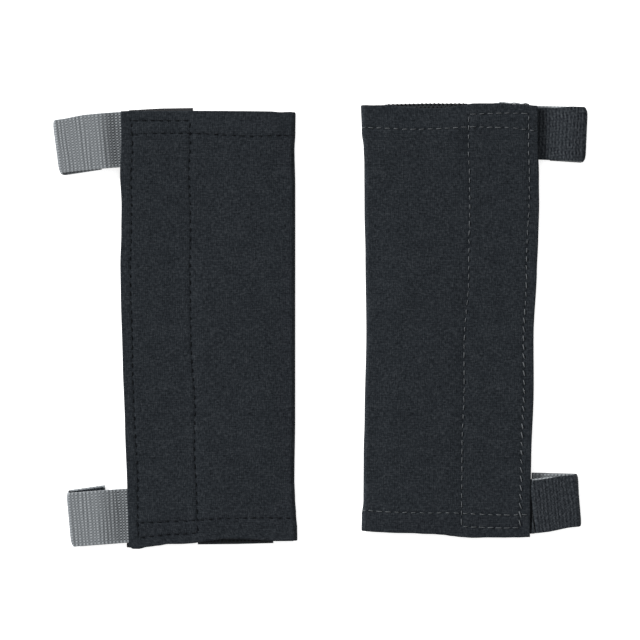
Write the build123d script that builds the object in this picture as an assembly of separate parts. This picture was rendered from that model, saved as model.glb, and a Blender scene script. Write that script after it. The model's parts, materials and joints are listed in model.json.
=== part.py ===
"""A pair of wrap-round fabric hand grips, lying flat side by side.

Each grip is one dark cloth panel folded in half along a long edge. Hook tape and loop tape run along
the free edge inside, dotted anti-slip liners cover the rest of the inside, and a short webbing strap
comes out of each end of the free edge and is folded back under itself. The left grip lies front up.
The right grip is the same article turned over, so its front panel, with the straps, is underneath.

Millimetres, +Z up, +Y towards the upper ends, origin at the bottom centre of the bounding box.
"""
from build123d import *
from dataclasses import dataclass
from math import asin, atan2, cos, degrees, pi, radians, sin
import os

# ---- driving dimensions -------------------------------------------------------------------------

# The sleeve, folded flat: its four sides differ a little, as a sewn piece's do.
UPPER_WIDTH = 81.6  # folded edge to free edge, at the upper end
LOWER_WIDTH = 78.4
FOLD_SIDE_LENGTH = 199.5
FREE_SIDE_LENGTH = 203.5
FOLD_SIDE_DROP = 0.6  # how far the folded side's middle lies above the free side's middle

CLOTH = 0.8
HEM_DEPTH = 11.0
HEM_TURN = 0.5  # thickness that the turned-in hem adds
HEM_FOLD_GAP = 1.0  # the hems and their thread begin this far past the rounded fold
TAPE_WIDTH = 30.0
TAPE = 1.2
TAPE_INSET = 3.7  # from the free edge
TAPE_OVERHANG = 1.0  # the tape stands out past the upper hem
TAPE_GAP = 0.3  # between the hook face and the loop face
LINER = 0.8
LINER_FOLD_MARGIN = 10.0  # bare strip beside the fold, so that the sleeve folds flat
LINER_TAPE_MARGIN = 1.0
LINER_OVERHANG = 0.6

THREAD_WIDTH = 0.6
THREAD = 0.25
OUTER_SEAM = 4.7  # from the free edge
INNER_SEAM = OUTER_SEAM + 27.6
BOX_SEAM_END = 5.5  # the box seam's short sides, from the ends
HEM_SEAM = 10.3  # from the ends

STACK = 2 * CLOTH + 2 * TAPE + TAPE_GAP  # height of the folded sleeve
FOLD_RADIUS = STACK / 2

# The straps.
STRAP_WIDTH = 25.0
WEBBING = 0.9
FACING = 0.5
STRAP = WEBBING + FACING
STRAP_FOLD_RADIUS = 2.3  # of the strap's middle plane
STRAP_LIFT = 0.05  # from the table to the folded ply's lowest corner
ANCHOR_DEPTH = 12.0  # length of strap sewn inside the free edge
BEND_OFFSET = 1.2  # from the free edge out to the line that the strap bends about
ANCHOR_CLEARANCE = 1.05  # from the bend line in to the sewn end
ROOT_CLEARANCE = 0.9  # from the bend line out to the free strap

# Where the two grips lie.
LEFT_FOLD_X = -11.75
RIGHT_FOLD_X = 20.3
LEFT_Y = -1.4
RIGHT_Y = 2.6


@dataclass
class Strap:
    name: str
    edge_y: float  # where its middle crosses the free edge, from the sleeve's middle
    tilt: float  # degrees that it points above the horizontal, seen from above
    reach: float  # from the free edge to its outermost point
    tip: float  # length of the ply that is folded back


@dataclass
class Grip:
    name: str
    outward: int  # -1 when the free edge is on the left, +1 on the right
    fold_x: float
    middle_y: float
    front_up: bool
    straps: tuple


GRIPS = (
    Grip("left", -1, LEFT_FOLD_X, LEFT_Y, True,
         (Strap("upper", 88.1, -6.4, 30.7, 17.5), Strap("lower", -86.9, -4.2, 27.3, 15.5))),
    Grip("right", 1, RIGHT_FOLD_X, RIGHT_Y, False,
         (Strap("upper", 87.2, -2.1, 23.4, 13.0), Strap("lower", -86.6, 6.1, 23.0, 13.0))),
)


# ---- sleeve outline -----------------------------------------------------------------------------

def width_at(y):
    """Distance from the folded edge to the free edge at height y."""
    share = (y + FREE_SIDE_LENGTH / 2) / FREE_SIDE_LENGTH
    return LOWER_WIDTH + share * (UPPER_WIDTH - LOWER_WIDTH)


def end_y(x, end):
    """Height of the upper (end = 1) or lower (end = -1) edge at distance x from the fold."""
    share = x / ((UPPER_WIDTH + LOWER_WIDTH) / 2)
    at_fold = end * FOLD_SIDE_LENGTH / 2 + FOLD_SIDE_DROP
    at_free = end * FREE_SIDE_LENGTH / 2
    return at_fold + share * (at_free - at_fold)


def plate(grip, corners, bottom, top):
    """A flat piece: its corners are (distance from the fold, height) in the grip's own plan."""
    points = [(grip.fold_x + grip.outward * x, grip.middle_y + y) for x, y in corners]
    outline = make_face(Polyline(*points, close=True))
    return Pos(0, 0, bottom) * extrude(outline, amount=top - bottom, dir=(0, 0, 1))


def lengthwise(grip, near, far, over_upper, over_lower, bottom, top):
    """A strip along the free edge: near and far are its sides' distances from that edge."""
    corners = []
    for end, over, sides in ((1, over_upper, (far, near)), (-1, over_lower, (near, far))):
        for side in sides:
            y = end * FREE_SIDE_LENGTH / 2
            x = width_at(y) - side
            corners.append((x, end_y(x, end) + end * over))
    return plate(grip, corners, bottom, top)


def crosswise(grip, end, near_x, far_x, outer, inner, bottom, top):
    """A strip along one end: outer and inner are its sides' distances from that end."""
    corners = []
    for depth, sides in ((outer, (near_x, far_x)), (inner, (far_x, near_x))):
        for x in sides:
            corners.append((x, end_y(x, end) - end * depth))
    return plate(grip, corners, bottom, top)


# ---- one ply of the sleeve: panel, tape, liner and thread -----------------------------------------

def ply(grip, upper):
    """The upper or the lower ply's pieces, keyed by what they are."""

    def level(depth_in):
        """Height of a plane that lies depth_in from the ply's outer face."""
        return STACK - depth_in if upper else depth_in

    def between(first, second):
        return sorted((level(first), level(second)))

    inside = (CLOTH, CLOTH + HEM_TURN)
    far = FREE_SIDE_LENGTH / 2
    corners = [
        (FOLD_RADIUS, end_y(FOLD_RADIUS, 1)),
        (width_at(far), far),
        (width_at(-far), -far),
        (FOLD_RADIUS, end_y(FOLD_RADIUS, -1)),
    ]
    cloth = plate(grip, corners, *between(0, CLOTH))
    hems = []
    for end in (1, -1):
        reach = width_at(end * far) - TAPE_INSET
        hems.append(crosswise(grip, end, FOLD_RADIUS + HEM_FOLD_GAP, reach, 0, HEM_DEPTH, *between(*inside)))

    thread_levels = between(0, THREAD)
    half = THREAD_WIDTH / 2
    runs = [
        lengthwise(grip, seam - half, seam + half, -BOX_SEAM_END, -BOX_SEAM_END, *thread_levels)
        for seam in (OUTER_SEAM, INNER_SEAM)
    ]
    for end in (1, -1):
        outer = width_at(end * far) - OUTER_SEAM
        inner = width_at(end * far) - INNER_SEAM
        for near_x, far_x, depth in (
            (inner, outer, BOX_SEAM_END + half),
            (FOLD_RADIUS + HEM_FOLD_GAP, outer, HEM_SEAM),
        ):
            runs.append(crosswise(grip, end, near_x, far_x, depth - half, depth + half, *thread_levels))
    thread = runs[0]
    for run in runs[1:]:
        thread = thread + run

    tape_levels = between(CLOTH, CLOTH + TAPE)
    tape = lengthwise(grip, TAPE_INSET, TAPE_INSET + TAPE_WIDTH, TAPE_OVERHANG, 0, *tape_levels)
    liner_edge = TAPE_INSET + TAPE_WIDTH + LINER_TAPE_MARGIN
    liner_corners = []
    for end, x_pair in (
        (1, (LINER_FOLD_MARGIN, width_at(far) - liner_edge)),
        (-1, (width_at(-far) - liner_edge, LINER_FOLD_MARGIN)),
    ):
        for x in x_pair:
            liner_corners.append((x, end_y(x, end) + end * LINER_OVERHANG))
    liner = plate(grip, liner_corners, *between(CLOTH, CLOTH + LINER))
    for hem in hems:
        tape = tape - hem
        liner = liner - hem
    return {
        "panel": cloth + hems[0] + hems[1] - thread,
        "hems": hems,
        "tape": tape,
        "liner": liner,
        "thread": thread,
    }


def sleeve_fold(grip):
    """The half round of cloth that joins the two plies."""
    ring = Circle(FOLD_RADIUS) - Circle(FOLD_RADIUS - CLOTH)
    half = ring - Pos(-FOLD_RADIUS, 0) * Rectangle(2 * FOLD_RADIUS, 4 * FOLD_RADIUS)
    side = Plane(origin=(0, 0, 0), x_dir=(-grip.outward, 0, 0), z_dir=(0, grip.outward, 0))
    bend = extrude(side * half, amount=FOLD_SIDE_LENGTH / 2, both=True)
    return Pos(grip.fold_x + grip.outward * FOLD_RADIUS, grip.middle_y + FOLD_SIDE_DROP, FOLD_RADIUS) * bend


# ---- straps ---------------------------------------------------------------------------------------

def strap_frame(grip, strap):
    """Where a strap bends at the seam and at its fold, and the planes its plies lie in."""
    slope = (UPPER_WIDTH - LOWER_WIDTH) / FREE_SIDE_LENGTH
    out = Vector(grip.outward, -slope, 0).normalized()
    along = Vector(0, 0, 1).cross(out)
    pointing = Vector(grip.outward * cos(radians(strap.tilt)), sin(radians(strap.tilt)), 0)
    skew = atan2(pointing.dot(along), pointing.dot(out))

    edge = Vector(
        grip.fold_x + grip.outward * width_at(strap.edge_y), grip.middle_y + strap.edge_y, 0
    )
    seam_depth = CLOTH + STRAP / 2
    seam_z = STACK - seam_depth if grip.front_up else seam_depth
    length = strap.reach - BEND_OFFSET - STRAP_FOLD_RADIUS - STRAP / 2
    climb_height = STRAP_LIFT + STRAP / 2 + 2 * STRAP_FOLD_RADIUS - seam_z
    twist = STRAP_WIDTH / 2 * abs(sin(skew)) * climb_height / length
    rise = asin((climb_height + twist) / length)

    origin = edge + out * BEND_OFFSET + Vector(0, 0, seam_z)
    up_the_root = out * cos(rise) + Vector(0, 0, sin(rise))
    normal = up_the_root.cross(along)
    direction = up_the_root * cos(skew) + along * sin(skew)
    root = Plane(origin=origin, x_dir=direction, z_dir=normal)
    climb = asin(sin(rise) * cos(skew))
    fold_centre = origin + direction * length - normal * STRAP_FOLD_RADIUS
    return {
        "root": root,
        "out": out,
        "along": along,
        "skew": skew,
        "rise": rise,
        "climb": climb,
        "length": length,
        "fold_centre": fold_centre,
        "fold_axis": root.y_dir * -1,
    }


def strap_layers(grip):
    """Bottom and top of each layer, from the strap's middle plane, where the root ply lies."""
    half = STRAP / 2
    if grip.front_up:
        return {"webbing": (half - WEBBING, half), "facing": (-half, FACING - half)}
    return {"webbing": (-half, WEBBING - half), "facing": (half - FACING, half)}


def strap_anchor(grip, at, hems):
    """The sewn end: it lies flat on the front panel's inner face, in line with the bend."""
    start = ANCHOR_CLEARANCE
    flat = Plane(origin=at["root"].origin, x_dir=at["out"], z_dir=(0, 0, 1))
    length = ANCHOR_DEPTH + BEND_OFFSET - start
    body = Pos(-start - length / 2, 0, 0) * Box(length, STRAP_WIDTH, STRAP)
    anchor = flat * body
    for hem in hems:
        anchor = anchor - hem
    return anchor


def strap_root(at, levels):
    """One layer of the root ply, cut parallel to the seam where it bends."""
    half = STRAP_WIDTH / 2
    skew = at["skew"]

    def start_x(y):
        return (ROOT_CLEARANCE + y * sin(skew)) / cos(skew)

    outline = make_face(
        Polyline(
            (start_x(-half), -half), (at["length"], -half), (at["length"], half),
            (start_x(half), half), close=True,
        )
    )
    bottom, top = levels
    layer = Pos(0, 0, bottom) * extrude(outline, amount=top - bottom, dir=(0, 0, 1))
    return at["root"] * layer


def strap_fold(at):
    """The strap's own half round and a little more, from the root ply down to the tip ply."""
    outer, inner = STRAP_FOLD_RADIUS + STRAP / 2, STRAP_FOLD_RADIUS - STRAP / 2
    sweep = 180 + degrees(at["climb"])
    end = radians(90 - sweep)
    middle = radians(90 - sweep / 2)

    def spot(radius, angle):
        return (radius * cos(angle), radius * sin(angle))

    section = make_face([
        Line((0, inner), (0, outer)),
        ThreePointArc((0, outer), spot(outer, middle), spot(outer, end)),
        Line(spot(outer, end), spot(inner, end)),
        ThreePointArc(spot(inner, end), spot(inner, middle), (0, inner)),
    ])
    side = Plane(origin=(at["length"], 0, -STRAP_FOLD_RADIUS), x_dir=(1, 0, 0), z_dir=(0, -1, 0))
    return at["root"] * extrude(side * section, amount=STRAP_WIDTH / 2, both=True)


def strap_tip(at, levels, length):
    """One layer of the ply that is folded back under the root ply and lies level."""
    climb = at["climb"]
    bottom, top = levels
    start = (
        at["length"] - STRAP_FOLD_RADIUS * sin(climb),
        0,
        -STRAP_FOLD_RADIUS * (1 + cos(climb)),
    )
    under = Plane(origin=start, x_dir=(-cos(climb), 0, sin(climb)), z_dir=(sin(climb), 0, cos(climb)))
    centre = Pos(length / 2, 0, -(bottom + top) / 2)
    return at["root"] * (under * (centre * Box(length, STRAP_WIDTH, top - bottom)))


# ---- the two grips --------------------------------------------------------------------------------

def build(grip):
    """All of one grip's pieces by name, and where its joints lie."""
    front, back = ply(grip, grip.front_up), ply(grip, not grip.front_up)
    pieces = {"panel_fold": sleeve_fold(grip)}
    for side, parts, tape_kind in (("front", front, "hook"), ("back", back, "loop")):
        pieces[f"{side}_panel"] = parts["panel"]
        pieces[f"{side}_liner"] = parts["liner"]
        pieces[f"{side}_seam_thread"] = parts["thread"]
        pieces[f"{tape_kind}_tape"] = parts["tape"]
    joints = {
        "flap": (
            Vector(grip.fold_x + grip.outward * FOLD_RADIUS, grip.middle_y, STACK / 2),
            Vector(0, -grip.outward, 0),
        )
    }
    layers = strap_layers(grip)
    for strap in grip.straps:
        at = strap_frame(grip, strap)
        name = f"{strap.name}_strap"
        anchor = strap_anchor(grip, at, front["hems"])
        pieces[f"{name}_sewn_end"] = anchor
        pieces["hook_tape"] = pieces["hook_tape"] - anchor
        for layer, levels in layers.items():
            pieces[f"{name}_{layer}_root"] = strap_root(at, levels)
            pieces[f"{name}_{layer}_tip"] = strap_tip(at, levels, strap.tip)
        pieces[f"{name}_fold"] = strap_fold(at)
        joints[f"{name}_bend"] = (at["root"].origin, at["along"] * -1)
        joints[f"{name}_tip"] = (at["fold_centre"], at["fold_axis"])
        print(grip.name, name, "root ply climbs", round(degrees(at["rise"]), 2), "degrees,",
              "strap beyond the seam", round(at["length"] + pi * STRAP_FOLD_RADIUS + strap.tip, 1))
    named = {f"{grip.name}_{key}": piece for key, piece in pieces.items()}
    return named, {f"{grip.name}_{key}": joint for key, joint in joints.items()}


nodes, hinges = {}, {}
for each_grip in GRIPS:
    grip_nodes, grip_hinges = build(each_grip)
    nodes.update(grip_nodes)
    hinges.update(grip_hinges)

whole = Compound(children=[Part() + piece for piece in nodes.values()]).bounding_box()
to_origin = Vector(-whole.center().X, -whole.center().Y, -whole.min.Z)

os.makedirs("parts", exist_ok=True)
for node, piece in nodes.items():
    export_step(Pos(to_origin) * piece, f"parts/{node}.step")
for hinge, (place, axis) in hinges.items():
    moved = place + to_origin
    print("HINGE", hinge, [round(v, 4) for v in moved], [round(v, 6) for v in axis])
print("size", whole.size, "shifted by", to_origin)
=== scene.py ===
import json
import math

import bpy
import numpy as np
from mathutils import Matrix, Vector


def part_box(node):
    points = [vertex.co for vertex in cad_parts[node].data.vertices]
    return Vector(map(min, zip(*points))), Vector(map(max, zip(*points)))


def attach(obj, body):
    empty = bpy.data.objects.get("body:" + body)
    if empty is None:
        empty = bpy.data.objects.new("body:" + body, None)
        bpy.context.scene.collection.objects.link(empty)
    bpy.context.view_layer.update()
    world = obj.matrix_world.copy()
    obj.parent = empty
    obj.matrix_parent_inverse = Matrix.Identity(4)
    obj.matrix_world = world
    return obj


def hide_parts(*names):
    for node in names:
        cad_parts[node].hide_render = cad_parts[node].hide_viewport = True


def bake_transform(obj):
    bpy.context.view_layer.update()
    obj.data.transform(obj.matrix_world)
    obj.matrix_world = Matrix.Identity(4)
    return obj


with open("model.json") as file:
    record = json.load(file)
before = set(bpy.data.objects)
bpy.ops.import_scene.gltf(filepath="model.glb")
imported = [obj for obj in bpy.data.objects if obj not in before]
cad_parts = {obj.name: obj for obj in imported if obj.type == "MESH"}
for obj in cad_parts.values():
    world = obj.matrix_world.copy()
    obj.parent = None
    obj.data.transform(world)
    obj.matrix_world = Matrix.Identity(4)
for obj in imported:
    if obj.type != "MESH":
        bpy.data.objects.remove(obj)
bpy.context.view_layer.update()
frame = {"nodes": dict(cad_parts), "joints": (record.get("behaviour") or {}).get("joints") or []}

# ---- sizes, in millimetres unless a name says otherwise ----

MM = 0.001
CLOTH = 0.8  # one thickness of the sleeve's cloth
HEM = 1.3  # the cloth and its turned-in hem
HEM_DEPTH, EDGE_DEPTH = 11.0, 9.0  # how far the cloth is turned in at the ends and the free edge
TAPE_INSET, TAPE_WIDTH = 3.7, 30.0
OUTER_SEAM, INNER_SEAM = 4.7, 32.3  # from the free edge
BOX_SEAM, HEM_SEAM = 4.8, 10.8  # from the ends
STITCH_PITCH = 4.05
STITCH = {"front": 2.3, "back": 2.7}  # the length of a stitch
THREAD_RADIUS = 0.19
DOT_PITCH, DOT_ROW, DOT_RADIUS = 1.85, 1.42, 0.62  # the liner's rubber dots, in staggered rows
WEB_ROW, WEB_PICK = 1.76, 1.3  # the webbing's weave, along the strap and across it
FACING_RIB = 1.64


# ---- small helpers ----

def ease(t):
    t = np.clip(t, 0.0, 1.0)
    return t * t * (3 - 2 * t)


def through(*knots):
    """A smooth curve through (place, value) pairs."""
    places, values = (np.array(v, float) for v in zip(*knots))

    def value_at(x):
        x = np.clip(np.asarray(x, float), places[0], places[-1])
        k = np.clip(np.searchsorted(places, x, side="right") - 1, 0, len(places) - 2)
        part = ease((x - places[k]) / (places[k + 1] - places[k]))
        return values[k] + (values[k + 1] - values[k]) * part

    return value_at


def ripple(x, y, wavelength, seed, waves=14):
    """A smooth random surface of about unit height, made of waves in all directions."""
    draw = np.random.default_rng(seed)
    total = np.zeros(np.broadcast(x, y).shape)
    for _ in range(waves):
        angle, phase = draw.uniform(0, 2 * np.pi, 2)
        length = wavelength * draw.uniform(0.7, 1.5)
        total = total + np.cos(2 * np.pi * (x * np.cos(angle) + y * np.sin(angle)) / length + phase)
    return total / math.sqrt(waves / 2)


def unit(v):
    return v / np.linalg.norm(v, axis=-1, keepdims=True)


def xyz(x, y, z):
    return np.stack(np.broadcast_arrays(x, y, z), axis=-1)


def rounded(distance, radius, least=0.02):
    """A quarter circle: nearly 0 at an edge, and 1 from the given distance inwards."""
    return np.sqrt(1 - (1 - np.clip(distance / radius, least, 1)) ** 2)


def box(node):
    """The lower and upper corners of a CAD node's box, in millimetres."""
    return [np.array(corner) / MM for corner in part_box(node)]


def circle(sides):
    return np.linspace(0, 2 * np.pi, sides, endpoint=False)


def round_rings(centre, thick, angle, aside, above):
    """Rings of points around a line, in the plane of two directions that may change along it."""
    around = np.cos(angle)[:, None] * aside[..., None, :] + np.sin(angle)[:, None] * above[..., None, :]
    return centre[:, None] + thick * around


def tube_faces(stations, around, turn=1, cap="fan"):
    """Faces that join neighbouring rings and close both ends; turn -1 makes them face the other way."""
    index = np.arange(stations * around).reshape(stations, around)
    following = np.roll(index, -1, axis=1)
    corners = index[:-1], following[:-1], following[1:], index[1:]
    faces = np.stack((corners[0], *corners[1:][::turn]), axis=-1).reshape(-1, 4).tolist()
    for end, order in ((index[0], -turn), (index[-1], turn)):
        if cap == "fan":
            faces.append(end[::order])
        else:  # a flat strip between the ring's two long sides
            for i in range(around // 2 - 1):
                strip = end[i], end[i + 1], end[around - 2 - i], end[around - 1 - i]
                faces.append(strip[::order])
    return faces


class Builder:
    """Gathers points, faces and cloth coordinates, in millimetres, and makes one mesh of them."""

    def __init__(self):
        self.points, self.faces, self.uv, self.depth, self.count = [], [], [], [], 0

    def add(self, points, faces, uv=None, depth=1.0):
        """uv is x and y if none is given. depth is 0 in the weave's pits and 1 on its crowns, and the
        materials paint shade into the pits from it.
        """
        uv = points[..., :2] if uv is None else uv
        self.points.append(points.reshape(-1, 3))
        self.uv.append(uv.reshape(-1, 2))
        self.depth.append(np.broadcast_to(depth, points.shape[:-1]).reshape(-1))
        self.faces.extend(tuple(int(i) + self.count for i in face) for face in faces)
        self.count += len(self.points[-1])

    def object(self, name, material, flip=False):
        mesh = bpy.data.meshes.new(name)
        points = np.concatenate(self.points) * MM
        faces = [f[::-1] for f in self.faces] if flip else self.faces
        mesh.from_pydata(points.tolist(), [], faces)
        loops = np.empty(len(mesh.loops), int)
        mesh.loops.foreach_get("vertex_index", loops)
        coordinates = (np.concatenate(self.uv) * MM)[loops].astype(np.float32)
        mesh.uv_layers.new(name="cloth").data.foreach_set("uv", coordinates.ravel())
        depth = mesh.attributes.new("depth", "FLOAT", "POINT")
        depth.data.foreach_set("value", np.concatenate(self.depth).astype(np.float32))
        mesh.polygons.foreach_set("use_smooth", np.ones(len(mesh.polygons), bool))
        mesh.materials.append(material)
        mesh.update()
        made = bpy.data.objects.new(name, mesh)
        bpy.context.scene.collection.objects.link(made)
        return made


def tube_object(name, material, rings, flip=False, uv=None, cap="fan", depth=1.0):
    """A piece that is one closed tube. rings is (stations, ring points, 3)."""
    build = Builder()
    build.add(rings, tube_faces(*rings.shape[:2], cap=cap), uv, depth)
    return build.object(name, material, flip)


# ---- materials ----

class Nodes:
    """Short names for building one node material."""

    def __init__(self, name):
        self.material = bpy.data.materials.new(name)
        self.material.use_nodes = True
        self.tree = self.material.node_tree
        self.shader = self.tree.nodes["Principled BSDF"]
        self.cloth = self.new("UVMap", "UV", uv_map="cloth")

    def feed(self, node, inputs):
        """Sets a node's inputs, by name or number, to plain values or to other nodes' outputs."""
        for key, value in inputs.items():
            if isinstance(value, bpy.types.NodeSocket):
                self.tree.links.new(value, node.inputs[key])
            else:
                node.inputs[key].default_value = value

    def new(self, kind, output, inputs=None, **settings):
        """Makes a node and returns one of its outputs."""
        node = self.tree.nodes.new("ShaderNode" + kind)
        for key, value in settings.items():
            setattr(node, key, value)
        self.feed(node, inputs or {})
        return node.outputs[output]

    def depth(self):
        return self.new("Attribute", "Fac", attribute_name="depth")

    def scaled(self, x, y, turn=0.0):
        inputs = {"Vector": self.cloth, "Scale": (x, y, 1.0), "Rotation": (0.0, 0.0, turn)}
        return self.new("Mapping", "Vector", inputs)

    def noise(self, vector, detail=2.0, roughness=0.5):
        inputs = {"Vector": vector, "Scale": 1.0, "Detail": detail, "Roughness": roughness}
        return self.new("TexNoise", "Fac", inputs)

    def bands(self, vector, direction, distortion):
        inputs = {"Vector": vector, "Scale": 1.0, "Distortion": distortion}
        return self.new("TexWave", "Fac", inputs, wave_type="BANDS", bands_direction=direction)

    def math(self, operation, a, b):
        return self.new("Math", "Value", {0: a, 1: b}, operation=operation)

    def total(self, first, weight, second, second_weight):
        weighted = [self.math("MULTIPLY", *pair) for pair in ((first, weight), (second, second_weight))]
        return self.math("ADD", *weighted)

    def base_colour(self, factor, *stops):
        colour = self.new("ValToRGB", "Color", {"Fac": factor})
        elements = colour.node.color_ramp.elements
        while len(elements) < len(stops):
            elements.new(0.5)
        for element, (place, shade) in zip(elements, stops):
            element.position = place
            element.color = (*shade, 1.0)
        self.feed(self.shader, {"Base Color": colour})

    def bump(self, height, strength, distance):
        inputs = {"Strength": strength, "Distance": distance, "Height": height}
        self.feed(self.shader, {"Normal": self.new("Bump", "Normal", inputs)})

    def uniform(self, **values):
        self.feed(self.shader, {key.replace("_", " "): value for key, value in values.items()})


def cloth_material():
    """Dark blue-grey heather: a plain weave of uneven yarns, some paler than others."""
    n = Nodes("cloth")
    warp = n.noise(n.scaled(1500, 480), 2.0, 0.6)
    weft = n.noise(n.scaled(480, 1500), 2.0, 0.6)
    fleck = n.noise(n.scaled(1150, 1150), 2.0, 0.6)
    broad = n.noise(n.scaled(150, 150), 1.0)
    tone = n.math("ADD", n.total(warp, 0.34, weft, 0.34), n.total(fleck, 0.28, broad, 0.09))
    # painted shade: the colour darkens along the stitched grooves, where the depth attribute is low
    pit_shade = n.math("SUBTRACT", n.math("MULTIPLY", n.math("SUBTRACT", n.depth(), 1.0), 0.06), 0.025)
    n.base_colour(n.math("ADD", tone, pit_shade), (0.36, (0.0042, 0.0053, 0.0069)),
                  (0.5, (0.0138, 0.0167, 0.0202)), (0.63, (0.0304, 0.0345, 0.0391)))
    weave = n.math("MULTIPLY", *(n.bands(n.scaled(350, 350), way, 0.6) for way in "XY"))
    n.bump(n.total(weave, 0.5, tone, 0.9), 0.5, 0.00025)
    n.uniform(Roughness=0.95, Sheen_Weight=0.02, Sheen_Roughness=0.5, Specular_IOR_Level=0.06)
    return n.material


def webbing_material():
    """Mid-grey nylon: bundles of fine filaments, with painted shade where one dives under the next."""
    n = Nodes("webbing")
    filaments = n.bands(n.scaled(700, 120), "X", 1.5)
    grain = n.noise(n.scaled(1300, 1300), 3.0, 0.6)
    fine = n.total(grain, 0.7, filaments, 0.12)
    # painted shade: most of the tone comes from the weave's depth, dark in its pits and pale on its
    # crowns
    n.base_colour(n.total(fine, 0.42, n.depth(), 0.58),
                  (0.18, (0.013, 0.015, 0.018)), (0.42, (0.094, 0.102, 0.109)),
                  (0.62, (0.182, 0.196, 0.207)), (0.82, (0.330, 0.350, 0.363)))
    n.bump(n.total(filaments, 0.6, grain, 1.0), 0.4, 0.0002)
    n.uniform(Roughness=0.7, Sheen_Weight=0.03, Specular_IOR_Level=0.2)
    return n.material


def pile_material(name, low, middle, high, roughness=0.95, specular=0.08, pit_shade=0.3):
    """Short dark pile, brushed nylon or moulded plastic, mottled where the fibres lie differently, with
    painted shade in its low places.
    """
    n = Nodes(name)
    fibres = n.noise(n.scaled(1700, 800), 3.0, 0.65)
    clumps = n.noise(n.scaled(600, 600), 2.0)
    # painted shade from the depth attribute: darker where it is low, as in the facing's rib valleys
    shade = n.math("MULTIPLY", n.math("SUBTRACT", n.depth(), 0.6), pit_shade)
    tone = n.math("ADD", n.total(fibres, 0.6, clumps, 0.4), shade)
    n.base_colour(tone, (0.3, low), (0.5, middle), (0.7, high))
    n.bump(fibres, 0.6, 0.0003)
    n.uniform(Roughness=roughness, Sheen_Weight=0.02, Specular_IOR_Level=specular)
    return n.material


def thread_material(name, low, high):
    """Twisted polyester thread."""
    n = Nodes(name)
    twist = n.bands(n.scaled(900, 900, 0.7), "X", 0.4)
    n.base_colour(twist, (0.2, low), (0.8, high))
    n.bump(twist, 0.5, 0.0001)
    n.uniform(Roughness=0.8, Sheen_Weight=0.0, Specular_IOR_Level=0.08)
    return n.material


def floor_material():
    """A white backdrop that glows a little, so that it stays white beside the shadows."""
    n = Nodes("floor")
    grain = n.noise(n.scaled(3.0, 3.0), 2.0)
    n.base_colour(grain, (0.3, (0.88, 0.88, 0.88)), (0.7, (0.90, 0.90, 0.90)))
    n.uniform(Roughness=0.9, Specular_IOR_Level=0.1, Emission_Color=(1, 1, 1, 1), Emission_Strength=0.65)
    return n.material


CLOTH_MATERIAL = cloth_material()
WEBBING_MATERIAL = webbing_material()
FACING_MATERIAL = pile_material(
    "facing", (0.0048, 0.0064, 0.0085), (0.0190, 0.0224, 0.0262), (0.044, 0.049, 0.055), pit_shade=0.37)
HOOK_MATERIAL = pile_material(
    "hook_tape", (0.003, 0.004, 0.004), (0.007, 0.008, 0.009), (0.014, 0.015, 0.017), 0.5, 0.3)
LOOP_MATERIAL = pile_material(
    "loop_tape", (0.003, 0.004, 0.005), (0.009, 0.010, 0.011), (0.020, 0.021, 0.023))
LINER_MATERIAL = pile_material(
    "liner", (0.005, 0.006, 0.008), (0.014, 0.017, 0.020), (0.030, 0.034, 0.038))
RUBBER_MATERIAL = pile_material(
    "rubber_dots", (0.002, 0.002, 0.003), (0.004, 0.004, 0.005), (0.008, 0.008, 0.009), 0.6, 0.2)
BLACK_THREAD = thread_material("black_thread", (0.0012, 0.0014, 0.0020), (0.0052, 0.0062, 0.0076))
GREY_THREAD = thread_material("grey_thread", (0.060, 0.065, 0.070), (0.128, 0.137, 0.144))
THREADS = {"front": (BLACK_THREAD, "black_thread"), "back": (GREY_THREAD, "grey_thread")}


# ---- the sleeves ----

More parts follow.
